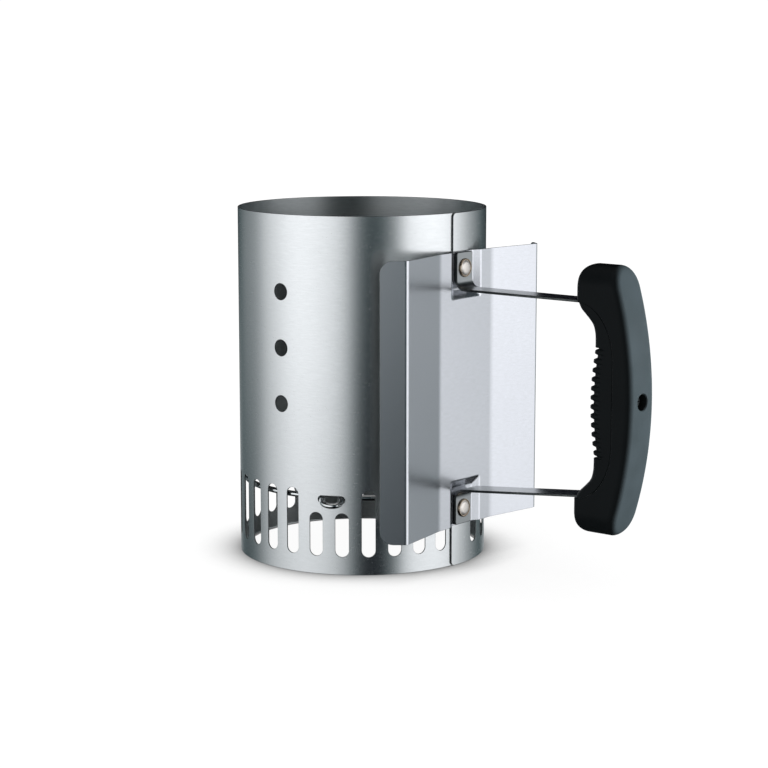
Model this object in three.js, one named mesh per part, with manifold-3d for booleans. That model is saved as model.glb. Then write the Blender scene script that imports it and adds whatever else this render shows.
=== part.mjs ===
// Chimney charcoal starter: a rolled sheet-steel chimney with draught slots round its foot, a wire
// grate held by three hooks that poke through the wall, a folded heat shield, and a flat steel strap
// handle with a two-piece plastic grip.
//
// Millimetres, +Z up. Everything is built about the chimney's own axis, with the handle along +X, and
// the whole group is then moved so that the origin is the middle of its footprint, on the ground.

import * as THREE from 'three';
import { mergeVertices } from 'three/addons/utils/BufferGeometryUtils.js';
import Module from 'manifold-3d';

const wasm = await Module();
wasm.setup();

// ---------------------------------------------------------------- driving dimensions

const bodyDiameter = 157;
const bodyHeight = 220;
const bodySheet = 0.8;
const fitGap = 0.25; // air left between pieces that touch on the real object

// Lap seam of the chimney: the outer layer starts beside the handle, the inner one ends past it.
const seamAngle = -5.9; // degrees from the handle, where the outer layer's free edge is
const lapEnd = 8; // degrees, where the hidden inner layer ends
const lapDip = 45; // degrees over which the sheet sinks to pass under the outer layer

// Draught slots and wall holes.
const slotPitch = 12; // degrees
const slotWidth = 8.5;
const slotBottom = 11.2;
const slotTop = 52.6;
const shortSlotTop = 38.5; // beside each grate hook
const missingSlot = 144; // degrees, the one place on the round without a slot
const wallHoleDiameter = 10.2;
const wallHoleHeights = [103.8, 138.3, 172.8];
const wallHoleAngles = [-90, 90];

// Wire grate.
const wireDiameter = 3.5;
const ringRadius = 74.6;
const ringHeight = 47.6; // wire centre
const hookAngles = [-65.5, 54.5, 174.5];
const hookReach = 87; // wire centre at the hook's tip, from the chimney's axis
const hookHalfWidth = 5.85; // wire centre to the hook's middle
const hookFall = 0.22; // drop per millimetre outside the ring
const hookLean = 0.25; // sideways per millimetre outside the ring
const barCount = 9;
const barPitch = 15.5;

// Heat shield: a folded sheet in front of the chimney, with a pressed pocket under each strap tab.
const shieldSheet = 0.6;
const shieldBottom = 26;
const shieldTop = 196.5;
const shieldFront = 82.4; // distance of the flat middle panel's front face from the axis
const shieldMiddleHalf = 26.6;
const shieldOuterHalf = 66.5;
const shieldOuterFront = 89;
const flangeTipHalf = 76.5;
const flangeTipFront = 75.7;
const shieldBendRadius = 2.5;
const flangeCornerRadius = 8;
const pocketHeight = 29.5;
const pocketHalf = 15.6;
const pocketFloorHalf = 9.5;

// Strap handle.
const strapWidth = 16;
const strapThick = 1.5;
const strapBend = 6;
const strapUpperArm = 173.4; // centre of the level upper arm
const strapLowerArm = 48.2; // centre of the lower arm where it leaves the wall
const strapLowerRise = 0.1; // the lower arm climbs outwards
const strapRun = 199; // centre of the upright stretch inside the grip
const rivetHeights = { rivet_upper: 186.3, rivet_lower: 36.2 };
const rivetHead = 11.5;
const rivetShank = 4.8;

// Grip.
const gripBack = 209.7; // outermost point of the grip
const gripBackRadius = 235;
const gripCentre = 115.5; // height
const gripHalfLength = 80.2;
const gripHalfWidth = 14;
const strapEntry = 58.5; // half the height between the strap's two entries
const gripFront = 170.3; // the two heads' face towards the chimney
const gripHeadTop = 178; // where each head's flat end begins
const gripHeadBack = 192; // where it ends
const gripWaist = 183.5; // finger side, above and below the ridges
const gripRidgeTip = 180.6; // the middle ridge
const ridgeTipRadius = 170; // the ridges' tips lie on a shallow arc
const ridgeCount = 12;
const ridgePitch = 5.44;
const ridgeDepth = 2;
const partingDepth = 197.5; // upright part of the line between the two grip pieces
const partingHalf = 24.5; // half the height of that upright part
const gripWall = 3;
const screwHeight = 116.6;
const screwHoleDiameter = 10;
const screwHeadDiameter = 8.4;
const screwHeadSeat = 203.2;
const screwHeadThick = 2.6;
const screwShank = 4;
const screwTip = 186.5;

const steel = { color: 0xc9cccd, roughness: 0.34, metalness: 1 };
const brightWire = { color: 0xd9dadb, roughness: 0.2, metalness: 1 };
const rivetMetal = { color: 0xd9b89c, roughness: 0.25, metalness: 1 };
const blackPlastic = { color: 0x14191a, roughness: 0.5, metalness: 0 };
const screwMetal = { color: 0x6d7072, roughness: 0.4, metalness: 1 };

// ---------------------------------------------------------------- worked-out dimensions

const bodyRadius = bodyDiameter / 2;
const lapDepth = bodySheet + fitGap;
const bodyInside = bodyRadius - lapDepth - bodySheet;
const pocketFloorBack = bodyRadius + fitGap;
const strapTab = pocketFloorBack + shieldSheet + fitGap + strapThick / 2; // centre of the riveted tabs
const strapFront = strapTab + strapThick / 2;
const holeClearance = 2 * fitGap;
const degree = Math.PI / 180;

// ---------------------------------------------------------------- helpers

const solidOf = (geometry) => {
  const bare = geometry.index ? geometry.toNonIndexed() : geometry.clone();
  bare.deleteAttribute('normal');
  bare.deleteAttribute('uv');
  const merged = mergeVertices(bare, 1e-4);
  const mesh = new wasm.Mesh({
    numProp: 3,
    vertProperties: new Float32Array(merged.attributes.position.array),
    triVerts: new Uint32Array(merged.index.array),
  });
  return new wasm.Manifold(mesh);
};

const geometryOf = (solid) => {
  const mesh = solid.getMesh();
  const geometry = new THREE.BufferGeometry();
  geometry.setAttribute('position', new THREE.BufferAttribute(mesh.vertProperties, 3));
  geometry.setIndex(new THREE.BufferAttribute(mesh.triVerts, 1));
  geometry.computeVertexNormals();
  return geometry;
};

const cut = (geometry, ...tools) => {
  const solid = tools.reduce((left, tool) => left.subtract(solidOf(tool)), solidOf(geometry));
  return geometryOf(solid);
};

const join = (first, ...others) => {
  const solid = others.reduce((whole, other) => whole.add(solidOf(other)), solidOf(first));
  return geometryOf(solid);
};

const keepWithin = (geometry, limit) => geometryOf(solidOf(geometry).intersect(solidOf(limit)));

const polar = (radius, degrees) =>
  new THREE.Vector2(radius * Math.cos(degrees * degree), radius * Math.sin(degrees * degree));

const extrude = (shape, depth, curveSegments = 8) =>
  new THREE.ExtrudeGeometry(shape, { depth, curveSegments, bevelEnabled: false });

// A plan outline (x, y) raised from one height to another.
const raised = (shape, from, to) => extrude(shape, to - from).translate(0, 0, from);

// A side outline (x, z) given a width across Y.
const across = (shape, width, curveSegments) =>
  extrude(shape, width, curveSegments).translate(0, 0, -width / 2).rotateX(Math.PI / 2);

// A front outline (y, z) pushed outwards along X, then turned about the chimney's axis.
const frontToX = new THREE.Matrix4().makeBasis(
  new THREE.Vector3(0, 1, 0),
  new THREE.Vector3(0, 0, 1),
  new THREE.Vector3(1, 0, 0),
);
const outward = (shape, from, to, degrees = 0, curveSegments = 8) =>
  extrude(shape, to - from, curveSegments)
    .translate(0, 0, from)
    .applyMatrix4(frontToX)
    .rotateZ(degrees * degree);

// A rod along X.
const rodAlongX = (diameter, from, to, height, sides = 20) =>
  new THREE.CylinderGeometry(diameter / 2, diameter / 2, to - from, sides)
    .rotateZ(Math.PI / 2)
    .translate((from + to) / 2, 0, height);

// A slot with round ends, lying along Y or standing along Z of a front outline.
const capsule = (width, bottom, top) => {
  const round = Math.min(width, top - bottom) / 2;
  const side = width / 2 - round;
  const shape = new THREE.Shape();
  shape.absarc(side, top - round, round, 0, Math.PI / 2);
  shape.absarc(-side, top - round, round, Math.PI / 2, Math.PI);
  shape.absarc(-side, bottom + round, round, Math.PI, Math.PI * 1.5);
  shape.absarc(side, bottom + round, round, Math.PI * 1.5, Math.PI * 2);
  return shape;
};

// The outline of a strip of even thickness whose centre line runs from corner to corner, with each
// corner rounded to the bend radius.
const bentStrip = (corners, bendRadius, thickness, bendSteps = 5) => {
  const line = corners.map(([x, y]) => new THREE.Vector2(x, y));
  const heading = (i) => line[i + 1].clone().sub(line[i]).normalize();
  const leftOf = (direction) => new THREE.Vector2(-direction.y, direction.x);
  const stations = [{ point: line[0], normal: leftOf(heading(0)) }];
  for (let i = 1; i < line.length - 1; i++) {
    const into = heading(i - 1);
    const away = heading(i);
    const turn = Math.atan2(into.cross(away), into.dot(away));
    const side = Math.sign(turn);
    const setback = bendRadius * Math.tan(Math.abs(turn) / 2);
    const start = line[i].clone().addScaledVector(into, -setback);
    const normal = leftOf(into);
    const centre = start.clone().addScaledVector(normal, side * bendRadius);
    for (let k = 0; k <= bendSteps; k++) {
      const turned = normal.clone().rotateAround(new THREE.Vector2(), (turn * k) / bendSteps);
      stations.push({ point: centre.clone().addScaledVector(turned, -side * bendRadius), normal: turned });
    }
  }
  stations.push({ point: line[line.length - 1], normal: leftOf(heading(line.length - 2)) });
  const edge = (side) =>
    stations.map(({ point, normal }) => point.clone().addScaledVector(normal, (side * thickness) / 2));
  return new THREE.Shape([...edge(1), ...edge(-1).reverse()]);
};

const group = new THREE.Group();

const addPiece = (name, geometry, look, parent = group) => {
  const mesh = new THREE.Mesh(geometry, new THREE.MeshStandardMaterial(look));
  mesh.name = name;
  parent.add(mesh);
  return mesh;
};

// ---------------------------------------------------------------- chimney

// How far the sheet has sunk from the outer diameter to slip under its own first edge.
const lapSink = (degrees) => {
  const full = seamAngle + 360 - 6;
  return lapDepth * THREE.MathUtils.smoothstep(degrees, full - lapDip, full);
};

const chimneyPlan = () => {
  const step = 3.6; // degrees
  const count = Math.round((360 + lapEnd - seamAngle) / step);
  const outer = [];
  const inner = [];
  for (let i = 0; i <= count; i++) {
    const angle = seamAngle + ((360 + lapEnd - seamAngle) * i) / count;
    const radius = bodyRadius - lapSink(angle);
    outer.push(polar(radius, angle));
    inner.push(polar(radius - bodySheet, angle));
  }
  return new THREE.Shape([...outer, ...inner.reverse()]);
};

const besideHook = (angle) =>
  hookAngles.some((hook) => {
    const apart = THREE.MathUtils.euclideanModulo(angle - hook + 180, 360) - 180;
    return Math.abs(apart) < slotPitch;
  });

const chimneyOpenings = () => {
  const inside = bodyRadius - 8;
  const outside = bodyRadius + 4;
  const tools = [];
  const punch = (angle, width, bottom, top) =>
    tools.push(outward(capsule(width, bottom, top), inside, outside, angle, 2));
  for (let angle = slotPitch; angle < 360; angle += slotPitch) {
    if (angle === missingSlot) continue;
    punch(angle, slotWidth, slotBottom, besideHook(angle) ? shortSlotTop : slotTop);
  }
  for (const angle of wallHoleAngles) {
    for (const height of wallHoleHeights) {
      punch(angle, wallHoleDiameter, height - wallHoleDiameter / 2, height + wallHoleDiameter / 2);
    }
  }
  const hookHole = wireDiameter + 1.2;
  const atWall = bodyRadius - bodySheet / 2 - ringRadius; // from the ring's wire to the wall
  for (const angle of hookAngles) {
    const low = ringHeight - hookFall * atWall - hookHole / 2;
    const aside = (hookLean * atWall) / bodyRadius / degree;
    punch(angle + aside, 2 * hookHalfWidth + hookHole + 0.6, low, low + hookHole);
  }
  for (const height of Object.values(rivetHeights)) {
    tools.push(rodAlongX(rivetShank + holeClearance, inside, outside, height));
  }
  return tools;
};

addPiece('body_sheet', cut(raised(chimneyPlan(), 0, bodyHeight), ...chimneyOpenings()), steel);

// ---------------------------------------------------------------- grate

// The ring's wire runs round inside the wall and is bent out into a long loop at each hook.
const ringPath = () => {
  const points = [];
  const rootAngle = Math.atan((hookHalfWidth + 3.5) / ringRadius) / degree;
  const arcSteps = 16;
  const hookHalf = [
    [ringRadius + 1, hookHalfWidth + 0.6],
    [ringRadius + 2.6, hookHalfWidth],
    [hookReach - hookHalfWidth, hookHalfWidth],
    [hookReach - hookHalfWidth * (1 - Math.SQRT1_2), hookHalfWidth * Math.SQRT1_2],
  ];
  const hook = [
    ...hookHalf.map(([reach, side]) => [reach, -side]),
    [hookReach, 0],
    ...hookHalf.reverse(),
  ];
  hookAngles.forEach((hookAngle, index) => {
    for (const [reach, side] of hook) {
      const beyond = reach - ringRadius;
      const place = new THREE.Vector2(reach, side + hookLean * beyond);
      place.rotateAround(new THREE.Vector2(), hookAngle * degree);
      points.push(new THREE.Vector3(place.x, place.y, ringHeight - hookFall * beyond));
    }
    const last = index === hookAngles.length - 1;
    const arcTo = hookAngle + 360 / hookAngles.length - rootAngle;
    for (let i = 0; i <= arcSteps; i++) {
      const angle = hookAngle + rootAngle + ((arcTo - hookAngle - rootAngle) * i) / arcSteps;
      const place = polar(ringRadius, angle);
      points.push(new THREE.Vector3(place.x, place.y, ringHeight));
    }
    if (last) points.push(points[0].clone().lerp(points[points.length - 1], 0.15));
  });
  return new THREE.CatmullRomCurve3(points, false, 'centripetal');
};

const wireSection = (sides) => {
  const corners = [];
  for (let i = 0; i < sides; i++) corners.push(polar(wireDiameter / 2, (360 * i) / sides));
  return new THREE.Shape(corners);
};

const ringSolid = new THREE.ExtrudeGeometry(wireSection(8), {
  steps: 160,
  extrudePath: ringPath(),
  bevelEnabled: false,
});
addPiece('grate_ring', ringSolid, brightWire);

// Straight bars lie on the ring, square to the line through the third hook; one stiffener passes
// under them, between the ring's two sides.
const grate = new THREE.Group();
grate.rotation.z = (hookAngles[2] - 180) * degree;
group.add(grate);

const wireBar = (length) => new THREE.CylinderGeometry(wireDiameter / 2, wireDiameter / 2, length, 10);

for (let i = 0; i < barCount; i++) {
  const offset = (i - (barCount - 1) / 2) * barPitch;
  const length = 2 * Math.sqrt((ringRadius + 0.9) ** 2 - offset ** 2);
  const bar = addPiece(`grate_bar_${i + 1}`, wireBar(length), brightWire, grate);
  bar.position.set(offset, 0, ringHeight + wireDiameter + fitGap);
}

const stiffener = addPiece(
  'grate_stiffener',
  wireBar(2 * (ringRadius - wireDiameter / 2 - fitGap)),
  brightWire,
  grate,
);
stiffener.rotation.z = Math.PI / 2;
stiffener.position.z = ringHeight;

// ---------------------------------------------------------------- heat shield

const shieldPlan = () => {
  const middle = shieldFront - shieldSheet / 2;
  const half = [
    [middle, shieldMiddleHalf],
    [shieldOuterFront - shieldSheet / 2, shieldOuterHalf],
    [flangeTipFront, flangeTipHalf],
  ];
  const right = half.map(([x, y]) => [x, -y]).reverse();
  return bentStrip([...right, ...half], shieldBendRadius, shieldSheet);
};

// The shield's front outline, with the flanges' free corners rounded.
const shieldOutline = () => {
  const foreshortened = flangeCornerRadius * 0.62;
  const side = flangeTipHalf + shieldSheet - foreshortened;
  const top = shieldTop - flangeCornerRadius;
  const bottom = shieldBottom + flangeCornerRadius;
  const shape = new THREE.Shape();
  shape.absellipse(side, top, foreshortened, flangeCornerRadius, 0, Math.PI / 2);
  shape.absellipse(-side, top, foreshortened, flangeCornerRadius, Math.PI / 2, Math.PI);
  shape.absellipse(-side, bottom, foreshortened, flangeCornerRadius, Math.PI, Math.PI * 1.5);
  shape.absellipse(side, bottom, foreshortened, flangeCornerRadius, Math.PI * 1.5, Math.PI * 2);
  return shape;
};

// A block whose face towards the chimney is smaller than its front face, on three of its sides.
const taperedBlock = (front, back, frontHalf, backHalf, edge, inward, taper) => {
  const block = new THREE.BoxGeometry(front - back, 2, 1).translate((front + back) / 2, 0, 0.5);
  const place = block.attributes.position;
  for (let i = 0; i < place.count; i++) {
    const atFront = place.getX(i) > (front + back) / 2;
    const depth = inward - (atFront ? 0 : Math.sign(inward) * taper);
    place.setY(i, place.getY(i) * (atFront ? frontHalf : backHalf));
    place.setZ(i, place.getZ(i) > 0.5 ? edge + depth : edge);
  }
  if (inward < 0) block.index.array.reverse();
  return block;
};

const pocketTaper = pocketHalf - pocketFloorHalf;
const shieldPocket = (edge, direction) => {
  const floorFront = pocketFloorBack + shieldSheet;
  const wall = 0.9 * shieldSheet;
  const length = direction * pocketHeight;
  const shellHalf = [pocketHalf + wall, pocketFloorHalf + wall];
  const shell = taperedBlock(
    shieldFront - shieldSheet / 2, pocketFloorBack, ...shellHalf, edge, length + direction * wall, pocketTaper,
  );
  const beyond = edge - direction * 5;
  const hollowLength = length + direction * 5;
  const hollow = taperedBlock(
    shieldFront, floorFront, pocketHalf, pocketFloorHalf, beyond, hollowLength, pocketTaper,
  );
  const mouth = new THREE.BoxGeometry(4, 2 * pocketHalf, Math.abs(hollowLength))
    .translate(shieldFront + 2 - 1e-3, 0, beyond + hollowLength / 2);
  return { shell, tools: [hollow, mouth] };
};

const shieldSolid = () => {
  const blank = keepWithin(
    raised(shieldPlan(), shieldBottom, shieldTop),
    outward(shieldOutline(), flangeTipFront - 10, shieldOuterFront + 10),
  );
  const upper = shieldPocket(shieldTop, -1);
  const lower = shieldPocket(shieldBottom, 1);
  const rivetHoles = Object.values(rivetHeights).map((height) =>
    rodAlongX(rivetShank + holeClearance, bodyRadius - 5, shieldFront + 5, height));
  return cut(join(blank, upper.shell, lower.shell), ...upper.tools, ...lower.tools, ...rivetHoles);
};

addPiece('heat_shield', shieldSolid(), steel);

// ---------------------------------------------------------------- strap handle

const lowerArmAt = (reach) => strapLowerArm + strapLowerRise * (reach - strapTab);

const strapCorners = [
  [strapTab, shieldTop - 0.4],
  [strapTab, strapUpperArm],
  [strapRun, strapUpperArm],
  [strapRun, lowerArmAt(strapRun)],
  [strapTab, strapLowerArm],
  [strapTab, shieldBottom + 0.4],
];

const strapHoles = [
  ...Object.values(rivetHeights).map((height) =>
    rodAlongX(rivetShank + holeClearance, strapTab - 5, strapTab + 5, height)),
  rodAlongX(screwShank + holeClearance, strapRun - 5, strapRun + 5, screwHeight),
];

addPiece(
  'handle_strap',
  cut(across(bentStrip(strapCorners, strapBend, strapThick), strapWidth), ...strapHoles),
  steel,
);

// ---------------------------------------------------------------- rivets and screw

// A turned piece whose profile runs along its axis, laid along X with its head outwards.
const turned = (profile, height, sides = 24) =>
  new THREE.LatheGeometry(profile.map(([radius, along]) => new THREE.Vector2(radius, along)), sides)
    .rotateZ(-Math.PI / 2)
    .translate(0, 0, height);

const rivetProfile = () => {
  const seat = strapFront + fitGap;
  const head = rivetHead / 2;
  const inside = bodyInside - fitGap;
  return [
    [0, inside - 1.5],
    [3.4, inside - 1.5],
    [4.2, inside - 0.7],
    [4.2, inside],
    [rivetShank / 2, inside],
    [rivetShank / 2, seat],
    [head, seat],
    [head, seat + 0.9],
    [head - 0.7, seat + 1.4],
    [head - 1.4, seat + 0.9],
    [head - 1.8, seat + 0.9],
    [head - 2.8, seat + 1.5],
    [0, seat + 1.9],
  ];
};

for (const [name, height] of Object.entries(rivetHeights)) {
  addPiece(name, turned(rivetProfile(), height), rivetMetal);
}

const screwProfile = [
  [0, screwTip],
  [screwShank / 4, screwTip],
  [screwShank / 2, screwTip + 2],
  [screwShank / 2, screwHeadSeat + fitGap],
  [screwHeadDiameter / 2, screwHeadSeat + fitGap],
  [screwHeadDiameter / 2, screwHeadSeat + fitGap + 0.6 * screwHeadThick],
  [0, screwHeadSeat + fitGap + screwHeadThick],
];
addPiece('grip_screw', turned(screwProfile, screwHeight), screwMetal);

// ---------------------------------------------------------------- grip

const at = (offset) => gripCentre + offset;

// The grip seen from behind: straight sides and round ends.
const gripBackView = capsule(2 * gripHalfWidth, at(-gripHalfLength), at(gripHalfLength));
const withinGrip = (geometry) => keepWithin(geometry, outward(gripBackView, 150, 230));

// The parting line: level from the strap's entries, curving to the upright stretch.
const addPartingLine = (shape, grow) => {
  const reach = partingDepth - gripFront - 1.7;
  const rise = strapEntry - partingHalf;
  const centre = partingDepth - reach;
  shape.lineTo(centre, at(-strapEntry - grow));
  shape.absellipse(centre, at(-partingHalf), reach + grow, rise + grow, -Math.PI / 2, 0);
  shape.absellipse(centre, at(partingHalf), reach + grow, rise + grow, 0, Math.PI / 2);
};

const backShellOutline = () => {
  const shoulder = 0.81 * gripHalfLength;
  const lean = Math.asin(shoulder / gripBackRadius);
  const arcCentre = gripBack - gripBackRadius;
  const shoulderReach = arcCentre + gripBackRadius * Math.cos(lean);
  const swing = 8;
  const shape = new THREE.Shape();
  const corner = gripHalfLength - 8;
  shape.moveTo(gripFront, at(-strapEntry - fitGap));
  addPartingLine(shape, fitGap);
  shape.lineTo(gripFront, at(strapEntry + fitGap));
  shape.lineTo(gripFront, at(corner));
  shape.quadraticCurveTo(gripFront + 1, at(gripHalfLength), gripHeadTop, at(gripHalfLength));
  shape.lineTo(gripHeadBack, at(gripHalfLength));
  shape.bezierCurveTo(
    gripHeadBack + 4, at(gripHalfLength),
    shoulderReach - swing * Math.sin(lean), at(shoulder + swing),
    shoulderReach, at(shoulder),
  );
  shape.absarc(arcCentre, gripCentre, gripBackRadius, lean, -lean, true);
  shape.bezierCurveTo(
    shoulderReach - swing * Math.sin(lean), at(-shoulder - swing),
    gripHeadBack + 4, at(-gripHalfLength),
    gripHeadBack, at(-gripHalfLength),
  );
  shape.lineTo(gripHeadTop, at(-gripHalfLength));
  shape.quadraticCurveTo(gripFront + 1, at(-gripHalfLength), gripFront, at(-corner));
  return shape;
};

const ridgeTip = (offset) => gripRidgeTip + offset ** 2 / (2 * ridgeTipRadius);

const fingerPieceOutline = () => {
  const entry = strapEntry - fitGap;
  const waist = ridgeCount / 2 * ridgePitch + 1;
  const shape = new THREE.Shape();
  shape.moveTo(gripFront + 1.2, at(-entry));
  addPartingLine(shape, 0);
  shape.lineTo(gripFront + 1.2, at(entry));
  shape.bezierCurveTo(gripFront + 2, at(entry - 6), gripWaist, at(entry - 6), gripWaist, at(entry - 19));
  shape.lineTo(gripWaist, at(waist));
  for (let i = 0; i < ridgeCount; i++) {
    const middle = ((ridgeCount - 1) / 2 - i) * ridgePitch;
    const tip = ridgeTip(middle);
    shape.lineTo(tip + ridgeDepth, at(middle + 0.3 * ridgePitch));
    shape.lineTo(tip + 0.3 * ridgeDepth, at(middle + 0.22 * ridgePitch));
    shape.lineTo(tip, at(middle + 0.1 * ridgePitch));
    shape.lineTo(tip, at(middle - 0.1 * ridgePitch));
    shape.lineTo(tip + 0.3 * ridgeDepth, at(middle - 0.22 * ridgePitch));
    shape.lineTo(tip + ridgeDepth, at(middle - 0.3 * ridgePitch));
  }
  shape.lineTo(gripWaist, at(-waist));
  shape.lineTo(gripWaist, at(19 - entry));
  shape.bezierCurveTo(gripWaist, at(6 - entry), gripFront + 2, at(6 - entry), gripFront + 1.2, at(-entry));
  return shape;
};

// Room for the strap, with the same gap all round it, and the screw's bore through both pieces.
const strapRoom = () => across(bentStrip(strapCorners, strapBend, strapThick + 2 * fitGap),
  strapWidth + 2 * fitGap);
const screwBore = () => rodAlongX(screwShank + holeClearance, screwTip - 0.6, gripBack, screwHeight);

const backShell = () => {
  const runBack = strapRun + strapThick / 2 + fitGap;
  const hollowHalf = strapEntry - 9;
  const hollow = new THREE.Shape();
  hollow.moveTo(runBack - 0.1, at(-hollowHalf));
  const arcCentre = gripBack - gripBackRadius;
  const innerRadius = gripBackRadius - gripWall;
  const lean = Math.asin(hollowHalf / innerRadius);
  hollow.absarc(arcCentre, gripCentre, innerRadius, -lean, lean, false);
  hollow.lineTo(runBack - 0.1, at(hollowHalf));
  const boss = rodAlongX(screwHoleDiameter + 2 * gripWall, runBack - 1, gripBack + 5, screwHeight, 28);
  const cavity = cut(across(hollow, 2 * (gripHalfWidth - gripWall)), boss);
  const betweenArms = new THREE.BoxGeometry(
    strapRun - 150, strapWidth + 2 * fitGap, 2 * strapEntry - 4,
  ).translate((strapRun + 150) / 2, 0, gripCentre);
  const counterbore = rodAlongX(screwHoleDiameter, screwHeadSeat, gripBack + 5, screwHeight);
  const outside = withinGrip(across(backShellOutline(), 2 * gripHalfWidth, 12));
  return cut(outside, strapRoom(), betweenArms, cavity, counterbore, screwBore());
};

const fingerPiece = () => {
  const hollowHalf = partingHalf + 4;
  const floor = gripWaist + gripWall;
  const boss = rodAlongX(screwShank + 2 * gripWall, 150, partingDepth + 10, screwHeight);
  const room = new THREE.BoxGeometry(
    partingDepth + 2 - floor, 2 * (gripHalfWidth - gripWall), 2 * hollowHalf,
  ).translate((partingDepth + 2 + floor) / 2, 0, gripCentre);
  const outside = withinGrip(across(fingerPieceOutline(), 2 * gripHalfWidth, 12));
  return cut(outside, strapRoom(), cut(room, boss), screwBore());
};

addPiece('grip_back_shell', backShell(), blackPlastic);
addPiece('grip_finger_piece', fingerPiece(), blackPlastic);

// ---------------------------------------------------------------- origin

const box = new THREE.Box3().setFromObject(group);
const middle = box.getCenter(new THREE.Vector3());
group.position.set(-middle.x, -middle.y, -box.min.z);

export default group;
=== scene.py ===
"""Chimney charcoal starter: fine meshes, materials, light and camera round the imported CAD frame.

Lengths are in millimetres until a mesh is made, about the chimney's own axis: x is the way out to the
handle, y is across, z is the height. Angles go round the chimney from the handle.
"""

import math

import bmesh
import bpy
import numpy as np
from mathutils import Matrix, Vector, geometry


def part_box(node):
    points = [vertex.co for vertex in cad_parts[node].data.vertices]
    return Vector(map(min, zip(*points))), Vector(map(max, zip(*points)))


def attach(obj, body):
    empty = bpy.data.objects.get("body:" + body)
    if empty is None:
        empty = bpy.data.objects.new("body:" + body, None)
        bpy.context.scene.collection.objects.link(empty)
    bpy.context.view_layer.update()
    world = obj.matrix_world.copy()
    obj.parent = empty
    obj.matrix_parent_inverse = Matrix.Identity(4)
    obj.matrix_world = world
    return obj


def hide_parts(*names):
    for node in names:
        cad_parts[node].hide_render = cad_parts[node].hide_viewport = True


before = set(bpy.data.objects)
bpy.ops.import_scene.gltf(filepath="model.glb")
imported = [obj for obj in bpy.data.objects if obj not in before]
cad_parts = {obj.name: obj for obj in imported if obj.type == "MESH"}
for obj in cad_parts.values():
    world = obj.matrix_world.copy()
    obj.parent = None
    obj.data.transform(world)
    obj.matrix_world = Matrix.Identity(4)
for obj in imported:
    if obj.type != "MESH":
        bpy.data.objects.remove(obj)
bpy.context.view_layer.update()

# ---------------------------------------------------------------- dimensions

# All as in the CAD model, except for HOOK_REACH.

low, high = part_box("body_sheet")
AXIS = np.array([(low.x + high.x) / 2, (low.y + high.y) / 2, 0])

BODY_RADIUS = 78.5
BODY_HEIGHT = 220
BODY_SHEET = 0.8
LAP_DEPTH = 1.05
SEAM = -5.9  # degrees, the outer layer's free edge
LAP_END = 8  # degrees, the inner layer's end
LAP_FULL = SEAM + 354  # degrees, where the sheet has sunk all the way
LAP_DIP = 45
SEAM_CORNER = 2.6
SLOT_PITCH = 12
SLOT_WIDTH = 8.5
SLOT_BOTTOM = 11.2
SLOT_TOP = 52.6
SHORT_SLOT_TOP = 38.5
MISSING_SLOT = 144  # degrees, the one place on the round without a slot
WALL_HOLE = 10.2
WALL_HOLE_HEIGHTS = (103.8, 138.3, 172.8)
WALL_HOLE_ANGLES = (-90, 90)

WIRE = 3.5
RING_RADIUS = 74.6
RING_HEIGHT = 47.6
HOOK_ANGLES = (-65.5, 54.5, 174.5)
HOOK_REACH = 86.85  # 0.15 less, because the CAD model's flat facets stay inside the true curve
HOOK_HALF_WIDTH = 5.85
HOOK_FALL = 0.22
HOOK_LEAN = 0.25
BAR_COUNT = 9
BAR_PITCH = 15.5

SHIELD_SHEET = 0.6
SHIELD_BOTTOM = 26
SHIELD_TOP = 196.5
SHIELD_CORNERS = ((82.1, 26.6), (88.7, 66.5), (75.7, 76.5))  # (x, y) of the sheet's middle, one side
SHIELD_BENDS = (26, 2.5)
SHIELD_CORNER_RADIUS = 8
POCKET_HEIGHT = 29.5
POCKET_HALF = 15.6
POCKET_TAPER = 6.1
POCKET_DEPTH = 3.05

STRAP_WIDTH = 16
STRAP_THICK = 1.5
STRAP_TAB = 80.35
STRAP_UPPER_ARM = 173.4
STRAP_LOWER_ARM = 48.2
STRAP_LOWER_RISE = 0.1
STRAP_RUN = 199
STRAP_BEND = 6
RIVETS = {"rivet_upper": 186.3, "rivet_lower": 36.2}
RIVET_HOLE = 5.3

GRIP_CENTRE = 115.5
GRIP_HALF_LENGTH = 80.2
GRIP_HALF_WIDTH = 14
GRIP_BACK = 209.7
GRIP_BACK_RADIUS = 235
GRIP_FRONT = 170.3
GRIP_EDGE = 5  # radius of the grip's long edges
GRIP_TIP_EDGE = 2.5  # the same at its two ends
PARTING_START = 172
PARTING_DEPTH = 197.5
PARTING_HALF = 24.5
PARTING_GAP = 0.35
STRAP_ENTRY = 58.5
RIDGE_COUNT = 12
RIDGE_PITCH = 5.44
RIDGE_DEPTH = 2
RIDGE_TIP = 180.6
RIDGE_TIP_RADIUS = 170
SCREW_HEIGHT = 116.6
SCREW_HOLE = 10
SCREW_SEAT = 203.2

# ---------------------------------------------------------------- materials


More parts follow.
